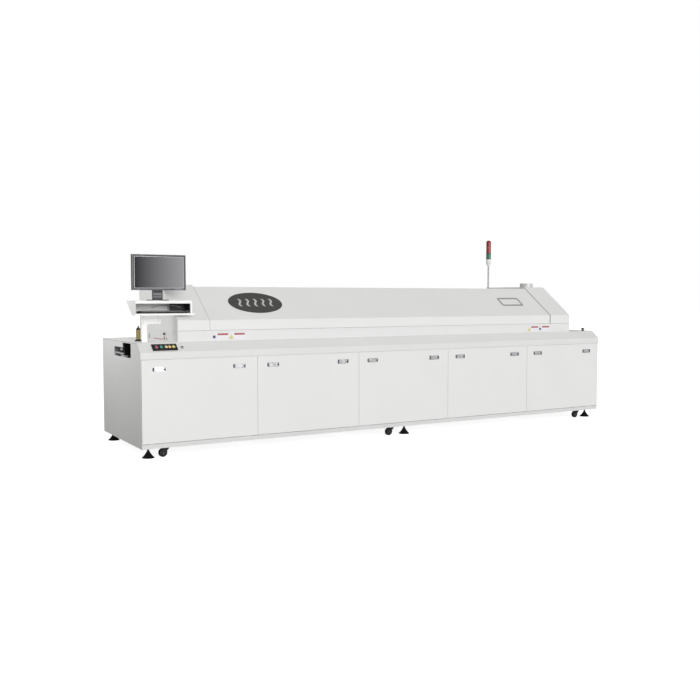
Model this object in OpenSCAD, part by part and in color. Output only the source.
// Reflow oven for circuit boards: a floor-standing tunnel oven with a lifting hood.
// Millimetres. +X runs along the tunnel towards the exit, -Y faces the operator, +Z is up.
// The origin is on the floor, under the middle of the cabinet.

/* [Cabinet] */
// Length of the cabinet along the tunnel
cabinet_l = 5800; // [5600:50:6000]
// Distance from the door faces to the rear panels
cabinet_d = 1320; // [1320:10:1400]
// Height of the frame's underside above the floor
base_z = 90; // [90:1:100]
// Height of the bottom frame rails
rail_h = 42; // [36:1:50]
// Height of the top edge of the doors
door_top_z = 911; // [905:1:915]
// Height of the worktop
worktop_z = 1065; // [1065:1:1070]
// Thickness of the cabinet sheet metal
sheet_t = 3; // [2:0.5:3]
// Number of front doors
door_count = 5; // [5:1:5]
// Gap round each door
door_gap = 1.5; // [1:0.5:3]

/* [Hood] */
// Half length of the whole hood
hood_x = 2510; // [2500:5:2520]
// Half length of the lifting lid
lid_x = 2185; // [2175:1:2185]
// Height of the flat tops of the hood's two ends
hood_top_z = 1612; // [1606:1:1618]
// How much lower the lid's flat top is than the ends
lid_drop = 20; // [10:1:25]
// Height of the upper edge of the hood's vertical front face
hood_break_z = 1268; // [1264:1:1275]
// Height of the seam between the lid and its base
lid_z = 1169; // [1166:1:1170]
// Y of the hood's front face
hood_front_y = -558; // [-560:1:-556]
// Y of the front edge of the flat top
hood_top_y = -80; // [-90:1:-70]
// Y of the hood's rear face
hood_rear_y = 645; // [640:1:648]
// Outer radius of the exhaust collars
collar_r = 80; // [75:1:100]

/* [Conveyor] */
// Height of the top run of the mesh belt
belt_z = 914; // [912:1:916]
// Inner face of the front rail
front_rail_y = -340; // [-345:1:-335]
// Inner face of the rear rail at its stored width
rear_rail_y = -85; // [-100:1:-80]
// Radius of the belt drums
drum_r = 42; // [40:1:44]
// Radius of the width screw
screw_r = 10; // [8:1:10]

/* [Operator parts] */
// Left edge of the monitor shelf
shelf_x0 = -2922; // [-2922:2:-2910]
// Right edge of the monitor shelf
shelf_x1 = -2379; // [-2385:2:-2371]
// Width of the monitor
monitor_w = 516; // [480:4:520]
// Height of the monitor's case
monitor_h = 334; // [310:2:338]
// Radius of the panel buttons
button_r = 14; // [10:0.5:14]
// How far each panel button sinks
button_travel = 4; // [3:0.5:4]

/* [Running gear] */
// Radius of the caster wheels
wheel_r = 41; // [38:0.5:41]
// Distance from the swivel axis to the wheel axis
caster_trail = 30; // [25:1:32]
// Radius of the levelling foot pads
foot_r = 57; // [52:1:58]

/* [Hidden] */
$fn = 48;

// Clearance of a shaft in its bearing
running = 0.05;
// Gap at each weld, which keeps the welded plates and bars solids of their own
weld = 0.1;

// Cabinet planes
half_l = cabinet_l / 2;
front_y = -cabinet_d / 2;
rear_y = cabinet_d / 2;
strip_top_z = base_z + rail_h;
door_bottom_z = strip_top_z + 3;
door_w = (cabinet_l - 10) / door_count;
door_t = 20;
skin_t = 1.5;
door_edge_r = 3;
post_w = 40;
rear_post_top_z = 1040;
front_post_top_z = 970;
top_rail_h = 15;
post_inset = 22;
mid_bar_z = 540;
channel_t = 4;
front_post_y = front_y + post_inset;
rear_post_y = rear_y - post_inset - post_w;
rail_w = 100;
white = [0.9, 0.9, 0.89];
shade_white = [0.85, 0.85, 0.84];
steel = [0.62, 0.63, 0.64];
dark = [0.08, 0.08, 0.085];

// Front ledge: a vertical nosing, a slope and a narrow flat that the hood stands on
nosing_y = -665;
nosing_bottom_z = 919;
nosing_top_z = 980;
slope_top_y = -562;
ledge_back_y = -540;
ledge_t = 5;
slope_angle = atan2(worktop_z - nosing_top_z, slope_top_y - nosing_y);

// Conveyor mouths in the end panels: tall at the front, lower behind the rear rail
mouth_front_y = -355;
mouth_step_y = -85;
mouth_rear_y = 215;
mouth_bottom_z = 912;
mouth_low_z = 1002;

// Furnaces
furnace_x = 2045;
furnace_y = 430;
furnace_bottom_z = 640;
furnace_split_z = 1050;
upper_bottom_z = 1056;
upper_top_z = 1330;
slot_front_y = -380;
slot_rear_y = 260;
slot_floor_z = 905;
blower_count = 10;
blower_pitch = 410;

// Lid hinge and its lifting cylinders
hinge_y = 654;
hinge_z = 1165;
hinge_pin_r = 6;
knuckle_r = hinge_y - hood_rear_y - 0.3;
lid_top_z = hood_top_z - lid_drop;
hood_slope = (hood_top_z - hood_break_z) / (hood_top_y - hood_front_y);
hinge_xs = [-1800, -600, 600, 1800];
lift_x = 2092;
lift_base = [350, 700];
lift_eye = [200, 1420];
lift_angle = atan2(lift_base[0] - lift_eye[0], lift_eye[1] - lift_base[1]);
lift_len = norm(lift_eye - lift_base);
lift_body_len = 600;
lift_rod_len = 560;

// Belt loop round the drums
drum_x = 2800;
drum_z = belt_z - 4 - drum_r - 0.3;
return_z = 600;
belt_y0 = -330;
belt_y1 = 180;
plate_front_y = -374;
plate_rear_y = 200;
beam_x0 = 2852;
beam_x1 = 2888;
beam_z = 880;
beam_top_z = 900;
rail_z = 925;
rail_top_z = 1045;
rail_web = 8;
rail_arm = 5;
mid_arm_z = 974;
belt_plate_x = 2740;
guard_z = 936;
guard_top_z = 948;
screw_x = -2700;
screw_z = 1025;

// Operator parts
panel_x0 = -2778;
panel_x1 = -2540;
panel_t = 9;
panel_v0 = -46;
panel_v1 = 36;
button_v = -8;
button_proud = 6;
button_xs = [-2737, -2689, -2644, -2611, -2574];
socket_x = -2490;
stop_x = 2779;
stop_y = -520;
shelf_front_y = -600;
shelf_bottom_z = 1318;
shelf_top_z = 1455;
shelf_lip = 28;
monitor_x = -2645;
monitor_z = 1552;
monitor_front_y = -455;
monitor_t = 45;
bezel = 20;
pivot_y = -383;
pivot_z = monitor_z + monitor_h / 2;
tower_x = 2203;
tower_y = 631;
tower_r = 31;
foot_xs = [-2822, 32, 2751];
foot_ys = [-598, 574];
caster_xs = [-2658, -151, 2594];
caster_ys = [-615, 600];
stem_r = 8;
fork_plate_r = 34;
latch_inset = 180;
latch_shift = -12;
latch_z = 823;
latch_w = 128;
latch_h = 41;
paddle_axis_z = latch_z + 17;
gland_x = 2500;
gland_z = 260;
gland_r = 20;

// ---- helpers ----

// Extrudes a [Y, Z] outline from x0 to x1
module along_x(x0, x1) {
    translate([x0, 0, 0]) rotate([90, 0, 90]) linear_extrude(x1 - x0) children();
}

// Extrudes an [X, Z] outline from y0 to y1
module along_y(y0, y1) {
    translate([0, y1, 0]) rotate([90, 0, 0]) linear_extrude(y1 - y0) children();
}

// A box from its two corners
module block(a, b) {
    translate(a) cube(b - a);
}

module rod_x(x0, x1, y, z, r) {
    translate([x0, y, z]) rotate([0, 90, 0]) cylinder(r = r, h = x1 - x0);
}

module rod_y(x, y0, y1, z, r) {
    translate([x, y0, z]) rotate([-90, 0, 0]) cylinder(r = r, h = y1 - y0);
}

// Repeats its children at both ends or both sides
module both_ends() {
    children();
    mirror([1, 0, 0]) children();
}

// Places children on the sloping ledge: X along the oven, Y up the slope, Z out of the sheet
module on_slope(x) {
    translate([x, (nosing_y + slope_top_y) / 2, (nosing_top_z + worktop_z) / 2])
        rotate([slope_angle, 0, 0]) children();
}

// The hood's [Y, Z] outline between heights z0 and top, set in by t from its outer faces
function hood_outline(z0, top, t) = let (drop = t * sqrt(1 + hood_slope * hood_slope)) [
    [hood_front_y + t, z0],
    [hood_front_y + t, hood_break_z + t * hood_slope - drop],
    [hood_front_y + (top - t - hood_break_z + drop) / hood_slope, top - t],
    [hood_rear_y - t, top - t],
    [hood_rear_y - t, z0]
];

// ---- cabinet ----

// A C-section rail along X whose back is at y = 0 and whose open side faces +Y
module channel(l, w, h) {
    difference() {
        cube([l, w, h]);
        translate([-1, channel_t, channel_t]) cube([l + 2, w, h - 2 * channel_t]);
    }
}

function door_x(i) = -half_l + 5 + i * door_w;

module base_frame() color(steel) {
    cross_xs = [for (i = [0:door_count]) min(max(door_x(i) - post_w / 2, -half_l + 12),
        half_l - 12 - post_w)];
    bottom_rail(0) channel(cabinet_l - 10, rail_w, rail_h);
    bottom_rail(1) mirror([0, 1, 0]) channel(cabinet_l - 10, rail_w, rail_h);
    for (x = cross_xs) {
        block([x, front_y + rail_w + weld, base_z], [x + post_w, rear_y - rail_w - weld, base_z + 6]);
        block([x, front_post_y, strip_top_z + weld],
            [x + post_w, front_post_y + post_w, front_post_top_z - weld]);
        block([x, rear_post_y, strip_top_z + weld],
            [x + post_w, rear_post_y + post_w, rear_post_top_z - weld]);
        block([x, front_post_y + post_w + weld, mid_bar_z],
            [x + post_w, rear_post_y - weld, mid_bar_z + post_w]);
    }
    block([-half_l + 12, front_post_y, front_post_top_z],
        [half_l - 12, front_post_y + post_w, front_post_top_z + top_rail_h]);
    block([-half_l + 12, rear_post_y, rear_post_top_z],
        [half_l - 12, rear_post_y + post_w, rear_post_top_z + top_rail_h]);
    // Rests that the doors' rolled lower edges stand on
    for (i = [0:door_count - 1], x = [door_x(i) + 80, door_x(i) + door_w - 110])
        block([x, front_y, strip_top_z + weld], [x + 30, front_y + 6, door_bottom_z - running]);
}

// The front (0) or rear (1) bottom rail with its gear pads and the holes for their stems
module bottom_rail(side) {
    difference() {
        union() {
            translate([-half_l + 5, side == 0 ? front_y : rear_y, base_z]) children();
            for (x = foot_xs) gear_pad(x, foot_ys[side]);
            for (x = caster_xs) gear_pad(x, caster_ys[side]);
        }
        for (x = foot_xs) stem_hole(x, foot_ys[side]);
        for (x = caster_xs) stem_hole(x, caster_ys[side]);
    }
}

module gear_pad(x, y) {
    block([x - 25, y - 28, base_z - 3], [x + 25, y + 28, base_z]);
}

module stem_hole(x, y) {
    translate([x, y, base_z - 10]) cylinder(r = stem_r + running, h = 20);
}

// End panel outline with the conveyor mouth left out
module end_panel_outline() {
    difference() {
        polygon([[front_y + 2, base_z], [front_y + 2, nosing_top_z - 6],
            [slope_top_y + 6, worktop_z - 7], [rear_y - 5, worktop_z - 7], [rear_y - 5, base_z]]);
        translate([mouth_front_y, mouth_bottom_z])
            square([mouth_step_y - mouth_front_y, worktop_z - 15 - mouth_bottom_z]);
        translate([mouth_step_y - 1, mouth_bottom_z])
            square([mouth_rear_y - mouth_step_y - 29, mouth_low_z - mouth_bottom_z]);
        translate([mouth_step_y - 1, mouth_bottom_z])
            square([mouth_rear_y - mouth_step_y + 1, mouth_low_z - mouth_bottom_z - 30]);
        translate([mouth_rear_y - 30, mouth_low_z - 30]) circle(r = 30);
    }
}

module left_end_panel() color(shade_white)
    along_x(-half_l, -half_l + sheet_t) end_panel_outline();

module right_end_panel() color(shade_white)
    along_x(half_l - sheet_t, half_l) end_panel_outline();

// Five screwed panels, and the gland that the mains cable enters through
module rear_panels() color(white) {
    difference() {
        union() {
            for (i = [0:door_count - 1])
                block([door_x(i) + door_gap, rear_y, door_bottom_z],
                    [door_x(i) + door_w - door_gap, rear_y + skin_t, worktop_z - 7]);
            rod_y(gland_x, rear_y, rear_y + 24, gland_z, gland_r + 9);
        }
        rod_y(gland_x, rear_y - 5, rear_y + 30, gland_z, gland_r);
    }
}

module worktop() color(white) {
    difference() {
        block([-half_l - 3, ledge_back_y, worktop_z - ledge_t],
            [half_l + 3, rear_y + skin_t, worktop_z]);
        block([-lid_x, -furnace_y - 16, 1000], [lid_x, furnace_y + 16, 1100]);
    }
}

module front_ledge() color(white) {
    along_x(-half_l - 3, half_l + 3) {
        polygon([[nosing_y, nosing_bottom_z], [nosing_y, nosing_top_z - weld],
            [nosing_y + ledge_t, nosing_top_z - 3 - weld], [nosing_y + ledge_t, nosing_bottom_z]]);
        polygon([[nosing_y, nosing_top_z], [slope_top_y, worktop_z],
            [slope_top_y + 2, worktop_z - ledge_t], [nosing_y + ledge_t, nosing_top_z - 3]]);
        polygon([[slope_top_y + weld, worktop_z], [ledge_back_y, worktop_z],
            [ledge_back_y, worktop_z - ledge_t], [slope_top_y + 2 + weld, worktop_z - ledge_t]]);
    }
    block([-half_l + 10, nosing_y + ledge_t + weld, nosing_bottom_z],
        [half_l - 10, front_y + 18, nosing_bottom_z + ledge_t]);
}

// ---- doors and their latches ----

function latch_xs(i) = [for (x = [latch_inset, door_w - latch_inset]) door_x(i) + x + latch_shift];

module door(i) color(white) {
    x0 = door_x(i) + door_gap;
    x1 = door_x(i) + door_w - door_gap;
    difference() {
        union() {
            difference() {
                block([x0, front_y, door_bottom_z], [x1, front_y + door_t, door_top_z]);
                block([x0 + skin_t, front_y + skin_t, door_bottom_z + skin_t],
                    [x1 - skin_t, front_y + door_t + 1, door_top_z - skin_t]);
                block([x0 - 1, front_y - 1, door_bottom_z - 1],
                    [x1 + 1, front_y + door_edge_r, door_bottom_z + door_edge_r]);
            }
            rod_x(x0, x1, front_y + door_edge_r, door_bottom_z + door_edge_r, door_edge_r);
            for (x = [x0 + 300, x1 - 360])
                block([x, front_y + door_t - 10, door_bottom_z], [x + 60, front_y + door_t, door_top_z]);
            for (x = latch_xs(i))
                block([x - latch_w / 2 - 2, front_y + 1, latch_z - latch_h / 2 - 2],
                    [x + latch_w / 2 + 2, front_y + 16, latch_z + latch_h / 2 + 2]);
        }
        for (x = latch_xs(i))
            block([x - latch_w / 2, front_y - 1, latch_z - latch_h / 2],
                [x + latch_w / 2, front_y + 14, latch_z + latch_h / 2]);
    }
}

// The two sprung paddles of one door, which turn on one line
module latch_pair(i) color([0.75, 0.76, 0.77]) {
    for (x = latch_xs(i)) {
        block([x - 40, front_y, latch_z - latch_h / 2 + 3], [x + 40, front_y + 3, paddle_axis_z]);
        block([x - 40, front_y, latch_z - latch_h / 2 + 3],
            [x + 40, front_y + 9, latch_z - latch_h / 2 + 6]);
        rod_x(x - latch_w / 2 + 1, x + latch_w / 2 - 1, front_y + 3, paddle_axis_z, 2.5);
    }
}

// ---- hood ----

// The upstand that the lid closes on, with the fixed halves of the hinges
module hood_base() color(white) {
    t = sheet_t;
    top = lid_z - 2;
    for (y = [hood_front_y, hood_rear_y - t])
        block([-hood_x, y, worktop_z], [hood_x, y + t, top]);
    for (x = [-hood_x, hood_x - t])
        block([x, hood_front_y + t + weld, worktop_z], [x + t, hood_rear_y - t - weld, top]);
    for (y = [hood_front_y + t + weld, hood_rear_y - 30])
        block([-hood_x + t + weld, y, top - t], [hood_x - t - weld, y + 27 - weld, top]);
    both_ends() block([hood_x - 30, hood_front_y + 30 + weld, top - t],
        [hood_x - t - weld, hood_rear_y - 30 - weld, top]);
    for (x = hinge_xs) {
        for (dx = [-50.5, 30.5]) {
            block([x + dx, hood_rear_y + weld, hinge_z - 40], [x + dx + 20, hinge_y, hinge_z]);
            rod_x(x + dx, x + dx + 20, hinge_y, hinge_z, knuckle_r - weld);
        }
        rod_x(x - 50.5, x + 50.5, hinge_y, hinge_z, hinge_pin_r);
    }
}

module hood_shell(x0, x1, z0, top) {
    difference() {
        along_x(x0, x1) polygon(hood_outline(z0, top, 0));
        along_x(x0 + sheet_t, x1 - sheet_t) polygon(hood_outline(z0 - 1, top, sheet_t));
    }
}

module hood_end(x0, x1) {
    x_mid = (lid_x + hood_x) / 2 * sign(x0);
    difference() {
        hood_shell(x0, x1, lid_z - 2, hood_top_z);
        translate([x_mid, 50, hood_top_z - 10]) cylinder(r = collar_r - 4, h = 20);
    }
}

module left_hood_end() color(shade_white) hood_end(-hood_x, -lid_x - 3);

module right_hood_end() color(white) hood_end(lid_x + 3, hood_x);

module exhaust_collars() color(steel) both_ends()
    translate([(lid_x + hood_x) / 2, 50, hood_top_z]) difference() {
        union() {
            cylinder(r = collar_r + 14, h = 3);
            cylinder(r = collar_r, h = 50);
        }
        translate([0, 0, -1]) cylinder(r = collar_r - 4, h = 60);
    }

module hood_lid() color(white) {
    hood_shell(-lid_x, lid_x, lid_z, lid_top_z);
    for (x = hinge_xs)
        difference() {
            union() {
                block([x - 30, hood_rear_y, hinge_z + 4], [x + 30, hood_rear_y + 3, hinge_z + 40]);
                rod_x(x - 30, x + 30, hinge_y, hinge_z, knuckle_r);
                block([x - 30, hood_rear_y, hinge_z + 4], [x + 30, hinge_y, hinge_z + 8]);
            }
            rod_x(x - 31, x + 31, hinge_y, hinge_z, hinge_pin_r + running);
        }
    both_ends() for (dx = [-18, 14])
        along_x(lift_x + dx, lift_x + dx + 4)
            polygon([[lift_eye[0] - 30, lift_eye[1] - 5], [lift_eye[0] + 30, lift_eye[1] - 5],
                [lift_eye[0] + 60, lid_top_z - sheet_t], [lift_eye[0] - 60, lid_top_z - sheet_t]]);
}

// ---- heating tunnel ----

module lower_furnace() color(steel) {
    t = sheet_t;
    x = furnace_x - t - weld;
    top = furnace_split_z - t;
    block([-x, -furnace_y, furnace_bottom_z], [x, furnace_y, furnace_bottom_z + t]);
    for (y = [-furnace_y, furnace_y - t])
        block([-x, y, furnace_bottom_z + t + weld], [x, y + t, top - weld]);
    block([-x, -furnace_y, top], [x, slot_front_y, furnace_split_z]);
    block([-x, slot_rear_y, top], [x, furnace_y, furnace_split_z]);
    for (y = [slot_front_y - t, slot_rear_y])
        block([-x, y, slot_floor_z], [x, y + t, top - weld]);
    block([-x, slot_front_y - t, slot_floor_z - t], [x, slot_rear_y + t, slot_floor_z - weld]);
    both_ends() {
        block([furnace_x - t, -furnace_y, furnace_bottom_z], [furnace_x, furnace_y, slot_floor_z]);
        block([furnace_x - t, -furnace_y, slot_floor_z + weld], [furnace_x, slot_front_y, furnace_split_z]);
        block([furnace_x - t, slot_rear_y, slot_floor_z + weld], [furnace_x, furnace_y, furnace_split_z]);
        block([furnace_x + weld, lift_base[0] - 50, lift_base[1] - 60],
            [furnace_x + 6, furnace_y, lift_base[1] + 60]);
        rod_x(furnace_x + 6, lift_x + 24, lift_base[0], lift_base[1], 10);
    }
    for (x = [-1740, -580, 580, 1740], y = [-400, 360])
        block([x - 10, y, mid_bar_z + post_w + weld], [x + 10, y + 40, furnace_bottom_z - weld]);
}

function blower_x(i) = (i - (blower_count - 1) / 2) * blower_pitch;

module upper_furnace() color(steel) {
    t = sheet_t;
    x = furnace_x - t - weld;
    block([-furnace_x, -furnace_y, upper_bottom_z], [furnace_x, furnace_y, upper_bottom_z + t]);
    for (y = [-furnace_y, furnace_y - t])
        block([-x, y, upper_bottom_z + t + weld], [x, y + t, upper_top_z - t - weld]);
    both_ends() block([furnace_x - t, -furnace_y, upper_bottom_z + t + weld],
        [furnace_x, furnace_y, upper_top_z - t - weld]);
    difference() {
        block([-furnace_x, -furnace_y, upper_top_z - t], [furnace_x, furnace_y, upper_top_z]);
        for (i = [0:blower_count - 1])
            translate([blower_x(i), 0, upper_top_z - 10]) cylinder(r = 40, h = 20);
    }
    for (x = [-4, -1, 1, 4] * blower_pitch, y = [-20, 380])
        block([x - 15, y, upper_top_z + weld], [x + 15, y + 30, lid_top_z - sheet_t - weld]);
}

module upper_blowers() color(dark) for (i = [0:blower_count - 1])
    translate([blower_x(i), 0, upper_top_z]) {
        cylinder(r = 95, h = 6);
        cylinder(r = 68, h = 120);
        translate([0, 0, 120]) cylinder(r = 72, h = 30);
    }

// ---- lid lifts ----

// Places children along the stored line of a lift: +Z runs from its base to its eye
module on_lift() {
    translate([lift_x, lift_base[0], lift_base[1]]) rotate([lift_angle, 0, 0]) children();
}

module lift_cylinders() color(dark) both_ends() on_lift() difference() {
    union() {
        translate([-15, 0, 0]) rotate([0, 90, 0]) cylinder(r = 22, h = 30);
        translate([0, 0, 15]) cylinder(r = 23, h = lift_body_len - 15);
    }
    translate([-20, 0, 0]) rotate([0, 90, 0]) cylinder(r = 10 + running, h = 40);
    translate([0, 0, 60]) cylinder(r = 11 + running, h = lift_body_len);
}

module lift_rods() color([0.8, 0.81, 0.82]) both_ends() on_lift() {
    translate([0, 0, lift_len - lift_rod_len]) cylinder(r = 11, h = lift_rod_len - 14);
    translate([-9, 0, lift_len]) rotate([0, 90, 0]) cylinder(r = 16, h = 18);
}

// ---- conveyor ----

// One rail's [Y, Z] outline: a web with three arms that point away from the boards
module rail_outline(arm) {
    translate([-rail_web, rail_z]) square([rail_web, rail_top_z - rail_z]);
    for (z = [rail_z, mid_arm_z, rail_top_z - rail_arm])
        translate([-arm, z]) square([arm, rail_arm]);
}

module conveyor_frame() color([0.7, 0.71, 0.72]) {
    return_drum_z = return_z + 4 + drum_r + 0.3;
    difference() {
        translate([0, front_rail_y, 0]) along_x(-beam_x1, beam_x1) rail_outline(34);
        rod_y(screw_x, -400, -300, screw_z, screw_r + running);
    }
    both_ends() {
        block([beam_x0, front_post_y + post_w, beam_z], [beam_x1, rear_post_y, beam_top_z]);
        block([beam_x0, plate_front_y, beam_top_z + weld], [beam_x1, front_rail_y, rail_z - weld]);
        difference() {
            for (y = [plate_front_y, plate_rear_y])
                block([belt_plate_x, y, return_z], [beam_x0 - weld, y + 10, beam_top_z]);
            for (z = [drum_z, return_drum_z]) rod_y(drum_x, -400, 300, z, 12 + running);
        }
        belt_drum(drum_x, return_drum_z);
        block([beam_x1 + weld, plate_rear_y - 5, beam_z], [beam_x1 + 7, plate_rear_y + 10, guard_top_z]);
        block([beam_x1 + 1.5, rear_rail_y, guard_z], [beam_x1 + 7, plate_rear_y - 5 - weld, guard_top_z]);
    }
    belt_drum(-drum_x, drum_z);
    difference() {
        block([-beam_x1, 300, beam_top_z + weld], [screw_x + 40, 315, rail_top_z]);
        rod_y(screw_x, 290, 330, screw_z, screw_r + running);
    }
}

// A free drum of the belt with its axle
module belt_drum(x, z) {
    rod_y(x, plate_front_y, plate_rear_y + 10, z, 12);
    rod_y(x, belt_y0, belt_y1, z, drum_r);
}

// The mesh belt: a loop over the upper drums and under the return rollers
module mesh_belt() color([0.55, 0.56, 0.57]) along_y(belt_y0, belt_y1) difference() {
    belt_outline(drum_r + 4.3);
    belt_outline(drum_r + 0.3);
}

module belt_outline(r) {
    x = drum_x + r;
    low = return_z + 4 + drum_r + 0.3;
    for (sx = [-1, 1]) {
        translate([sx * drum_x, drum_z]) circle(r = r);
        translate([sx * drum_x, low]) circle(r = r);
    }
    translate([-x, low]) square([2 * x, drum_z - low]);
    translate([-drum_x, low - r]) square([2 * drum_x, drum_z - low + 2 * r]);
}

// The rail that slides across to suit the board's width
module rear_rail() color([0.7, 0.71, 0.72]) {
    difference() {
        union() {
            translate([0, rear_rail_y, 0]) mirror([0, 1, 0])
                along_x(-beam_x1, beam_x1) rail_outline(125);
            block([screw_x - 20, rear_rail_y, screw_z - 18], [screw_x + 20, rear_rail_y + 50, screw_z + 18]);
        }
        rod_y(screw_x, rear_rail_y - 20, rear_rail_y + 150, screw_z, screw_r + running);
    }
    both_ends() {
        block([beam_x0, rear_rail_y, beam_top_z + 0.3], [beam_x1, rear_rail_y + 100, rail_z - weld]);
        block([beam_x1 - 8, rear_rail_y, rail_z], [beam_x1, rear_rail_y + 50, rail_top_z]);
        block([beam_x1 - 8, rear_rail_y + 50, mid_arm_z - 4], [beam_x1, rear_rail_y + 115, mid_arm_z + 16]);
    }
}

module width_screw() color([0.8, 0.81, 0.82]) {
    rod_y(screw_x, -400, 345, screw_z, screw_r);
    rod_y(screw_x, -390, plate_front_y - 0.3, screw_z, 16);
    rod_y(screw_x, 315.3, 330, screw_z, 24);
}

module drive_drum() color(steel) {
    rod_y(drum_x, plate_front_y - 12, plate_rear_y + 40, drum_z, 12);
    rod_y(drum_x, belt_y0, belt_y1, drum_z, drum_r);
    rod_y(drum_x, plate_rear_y + 14, plate_rear_y + 24, drum_z, 34);
}

// ---- operator parts ----

module chain_oiler() color([0.5, 0.45, 0.15]) translate([-2785, -220, worktop_z]) {
    translate([-30, -22, 0]) cube([60, 44, 16]);
    translate([0, 0, 16]) cylinder(r = 22, h = 92);
    translate([0, 0, 108]) cylinder(r1 = 20, r2 = 12, h = 18);
    translate([0, 0, 126]) cylinder(r = 8, h = 20);
}

function shelf_back_y(z) = hood_front_y - 3 + (z - hood_break_z) / hood_slope;

module monitor_shelf() color(white) {
    t = sheet_t;
    difference() {
        along_x(shelf_x0, shelf_x1) polygon([
            [shelf_front_y, shelf_bottom_z], [shelf_front_y, shelf_top_z],
            [shelf_back_y(shelf_top_z), shelf_top_z], [shelf_back_y(shelf_bottom_z), shelf_bottom_z]]);
        along_x(shelf_x0 + t, shelf_x1 - t) polygon([
            [shelf_front_y + t, shelf_bottom_z + t], [shelf_front_y + t, shelf_top_z - t],
            [shelf_back_y(shelf_top_z - t) - 6, shelf_top_z - t],
            [shelf_back_y(shelf_bottom_z + t) - 6, shelf_bottom_z + t]]);
        block([shelf_x0 + t, shelf_front_y - 5, shelf_bottom_z + 18],
            [shelf_x1 - 18, shelf_front_y + 5, shelf_top_z - 27]);
    }
    block([shelf_x1, shelf_front_y, shelf_bottom_z],
        [shelf_x1 + shelf_lip, shelf_front_y + 50, shelf_bottom_z + t]);
    block([shelf_x1, shelf_front_y, shelf_bottom_z],
        [shelf_x1 + shelf_lip, shelf_front_y + t, shelf_bottom_z + 16]);
    for (x = [shelf_x0 + t, shelf_x1 - t - 20])
        block([x, shelf_front_y + t, shelf_bottom_z + 14],
            [x + 20, shelf_front_y + 110, shelf_bottom_z + 18]);
    shelf_leg();
}

// The bracket that props the shelf on the worktop, hung from it by two studs
module shelf_leg() {
    leg_x = -2800;
    arm_x = -2611;
    along_y(-375, -370) difference() {
        translate([leg_x, worktop_z]) square([arm_x - leg_x, 212]);
        translate([leg_x + 53 + 20, worktop_z - 1]) square([arm_x - leg_x, 169]);
        translate([leg_x + 53, worktop_z - 1]) square([30, 149]);
        translate([leg_x + 73, worktop_z + 148]) circle(r = 20);
    }
    for (x = [leg_x + 14, arm_x - 22])
        translate([x, -380, worktop_z + 160]) difference() {
            cylinder(r = 7, h = shelf_bottom_z - worktop_z - 160);
            translate([-20, 5, -1]) cube([40, 5, 53]);
        }
    block([leg_x, -400, worktop_z], [leg_x + 53, -375, worktop_z + 5]);
    block([leg_x + 5, -390, shelf_bottom_z - 4], [arm_x, -360, shelf_bottom_z]);
    block([leg_x + 5, -503, shelf_bottom_z - 4], [leg_x + 45, -390, shelf_bottom_z]);
    block([arm_x - 40, -503, shelf_bottom_z - 4], [arm_x, -390, shelf_bottom_z]);
}

module keyboard_tray() color(dark)
    block([shelf_x0 + 6, shelf_front_y + 4, shelf_bottom_z + 18.5],
        [shelf_x1 - 20, shelf_front_y + 122, shelf_bottom_z + 22]);

module keyboard() color([0.15, 0.15, 0.16])
    along_x(shelf_x0 + 45, shelf_x1 - 45)
        polygon([[shelf_front_y + 8, shelf_bottom_z + 22], [shelf_front_y + 8, shelf_bottom_z + 30],
            [shelf_front_y + 110, shelf_bottom_z + 40], [shelf_front_y + 118, shelf_bottom_z + 36],
            [shelf_front_y + 118, shelf_bottom_z + 22]]);

module monitor_stand() color(dark) {
    translate([monitor_x, -395, shelf_top_z]) scale([1, 0.72, 1]) cylinder(r = 105, h = 8);
    block([monitor_x - 50, pivot_y - 8, shelf_top_z + 8], [monitor_x + 50, pivot_y + 7, pivot_z - 20]);
    block([monitor_x - 18, pivot_y - 8, pivot_z - 20], [monitor_x + 18, pivot_y + 7, pivot_z]);
    rod_x(monitor_x - 18, monitor_x + 18, pivot_y, pivot_z, 11);
    rod_x(monitor_x - 34, monitor_x + 34, pivot_y, pivot_z, 4);
}

module monitor_housing() color(dark) {
    x0 = monitor_x - monitor_w / 2;
    x1 = monitor_x + monitor_w / 2;
    back_y = monitor_front_y + monitor_t;
    difference() {
        block([x0, monitor_front_y, monitor_z], [x1, back_y, monitor_z + monitor_h]);
        block([x0 + bezel, monitor_front_y - 1, monitor_z + bezel],
            [x1 - bezel, monitor_front_y + 4, monitor_z + monitor_h - bezel]);
    }
    for (dx = [-32, 20])
        difference() {
            union() {
                block([monitor_x + dx, back_y, pivot_z - 12], [monitor_x + dx + 12, pivot_y, pivot_z + 12]);
                rod_x(monitor_x + dx, monitor_x + dx + 12, pivot_y, pivot_z, 12);
            }
            rod_x(monitor_x + dx - 1, monitor_x + dx + 13, pivot_y, pivot_z, 4 + running);
        }
}

module monitor_screen() color([0.3, 0.3, 0.33])
    block([monitor_x - monitor_w / 2 + bezel, monitor_front_y + 2, monitor_z + bezel],
        [monitor_x + monitor_w / 2 - bezel, monitor_front_y + 4, monitor_z + monitor_h - bezel]);

module control_panel() color(dark) {
    difference() {
        on_slope(0) block([panel_x0, panel_v0, 0], [panel_x1, panel_v1, panel_t]);
        for (x = button_xs)
            on_slope(x) translate([0, button_v, -1]) cylinder(r = button_r + 0.3, h = panel_t + 2);
    }
    on_slope(socket_x) translate([0, button_v, 0]) difference() {
        cylinder(r = 15, h = 6);
        translate([0, 0, 2]) cylinder(r = 8, h = 6);
    }
    translate([stop_x, stop_y, worktop_z]) difference() {
        cylinder(r = 17, h = 15);
        translate([0, 0, -1]) cylinder(r = 10.4, h = 20);
    }
}

module button(i) {
    foot = button_travel + 0.3;
    on_slope(button_xs[i]) translate([0, button_v, foot]) {
        cylinder(r = button_r, h = panel_t + button_proud - 2 - foot);
        translate([0, 0, panel_t + button_proud - 2 - foot])
            cylinder(r1 = button_r, r2 = button_r - 2, h = 2);
    }
}

module red_button() color([0.75, 0.25, 0.3]) button(0);

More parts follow.
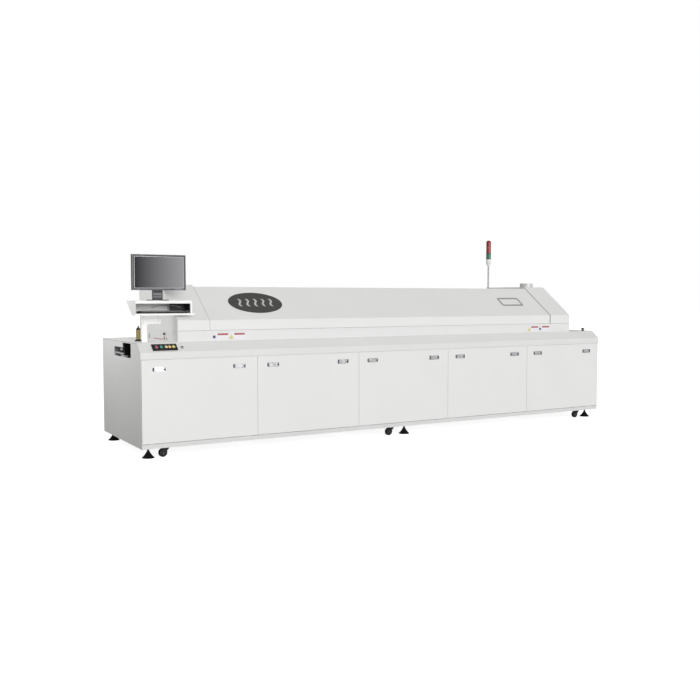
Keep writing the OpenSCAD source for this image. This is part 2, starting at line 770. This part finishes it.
module green_button() color([0.1, 0.5, 0.4]) button(1);

module left_cream_button() color([0.95, 0.85, 0.65]) button(2);

module right_cream_button() color([0.95, 0.85, 0.65]) button(3);

module yellow_button() color([0.9, 0.85, 0.3]) button(4);

module emergency_stop() color([0.5, 0.05, 0.05])
    translate([stop_x, stop_y, worktop_z]) rotate_extrude()
        polygon([[0, 6], [10, 6], [10, 21], [22, 22], [22, 28], [18, 34], [9, 37], [0, 38]]);

// ---- signal tower ----

module tower_pole() color([0.75, 0.75, 0.75]) translate([tower_x, tower_y, hood_top_z]) {
    cylinder(r = 14, h = 6);
    cylinder(r = 10, h = 285);
    translate([0, 0, 285]) cylinder(r1 = 14, r2 = tower_r, h = 35);
    translate([0, 0, 320]) cylinder(r = tower_r, h = 56);
}

// Lens sections from the bottom: green, red, pale band, red, cap
module tower_lenses() color([0.6, 0.1, 0.12])
    translate([tower_x, tower_y, hood_top_z + 376]) rotate_extrude() {
        r = tower_r;
        groove_r = r - 1.5;
        polygon([[0, 0], [r, 0], [r, 78], [groove_r, 78], [groove_r, 80], [r, 80], [r, 128],
            [groove_r, 128], [groove_r, 130], [r, 130], [r, 170], [groove_r, 170], [groove_r, 172],
            [r, 172], [r, 228], [r - 2, 230], [r - 2, 246], [r - 8, 254], [0, 254]]);
    }

// ---- running gear ----

function caster_at(i) = [caster_xs[i % 3], caster_ys[floor(i / 3)]];

// Top plate, kingpin, two cheeks and the axle of one trailing caster
module caster_fork(i) color(dark) translate(concat(caster_at(i), [0])) {
    translate([0, 0, wheel_r * 2 + 2]) cylinder(r = fork_plate_r, h = base_z - 5.3 - wheel_r * 2);
    translate([0, 0, wheel_r * 2 + 3]) cylinder(r = stem_r, h = 24);
    for (y = [-19, 15]) {
        along_y(y, y + 4)
            polygon([[-26, wheel_r * 2 + 4], [24, wheel_r * 2 + 4], [24, wheel_r * 2 - 6],
                [-caster_trail + 10, wheel_r - 10], [-caster_trail - 10, wheel_r - 10]]);
        rod_y(-caster_trail, y, y + 4, wheel_r, 14);
    }
    rod_y(-caster_trail, -22, 22, wheel_r, 5);
}

module caster_wheel(i) color(dark) translate(concat(caster_at(i), [wheel_r]))
    translate([-caster_trail, 0, 0]) rotate([90, 0, 0]) rotate_extrude()
        polygon([[5 + running, -14.5], [16, -14.5], [18, -10], [28, -10], [30, -13], [wheel_r - 3, -13],
            [wheel_r, -10], [wheel_r, 10], [wheel_r - 3, 13], [30, 13], [28, 10], [18, 10],
            [16, 14.5], [5 + running, 14.5]]);

// Six pads on threaded stems, lowered and raised together to level the oven
module levelling_feet() color(dark) for (x = foot_xs, y = foot_ys)
    translate([x, y, 0]) {
        rotate_extrude() polygon([[0, 0], [foot_r, 0], [foot_r, 7], [foot_r - 9, 12], [33, 30], [18, 52],
            [14, 60], [0, 60]]);
        translate([0, 0, 60]) cylinder(r = stem_r, h = 64);
    }

base_frame();
left_end_panel();
right_end_panel();
rear_panels();
worktop();
front_ledge();
hood_base();
left_hood_end();
right_hood_end();
exhaust_collars();
lower_furnace();
conveyor_frame();
mesh_belt();
chain_oiler();
monitor_shelf();
monitor_stand();
control_panel();
tower_pole();
tower_lenses();
hood_lid();
upper_furnace();
upper_blowers();
lift_cylinders();
lift_rods();
keyboard_tray();
keyboard();
monitor_housing();
monitor_screen();
rear_rail();
width_screw();
drive_drum();
red_button();
green_button();
left_cream_button();
right_cream_button();
yellow_button();
emergency_stop();
door(0);  // door_1
door(1);  // door_2
door(2);  // door_3
door(3);  // door_4
door(4);  // door_5
latch_pair(0);  // latches_1
latch_pair(1);  // latches_2
latch_pair(2);  // latches_3
latch_pair(3);  // latches_4
latch_pair(4);  // latches_5
caster_fork(0);  // caster_fork_1
caster_fork(1);  // caster_fork_2
caster_fork(2);  // caster_fork_3
caster_fork(3);  // caster_fork_4
caster_fork(4);  // caster_fork_5
caster_fork(5);  // caster_fork_6
caster_wheel(0);  // caster_wheel_1
caster_wheel(1);  // caster_wheel_2
caster_wheel(2);  // caster_wheel_3
caster_wheel(3);  // caster_wheel_4
caster_wheel(4);  // caster_wheel_5
caster_wheel(5);  // caster_wheel_6
levelling_feet();
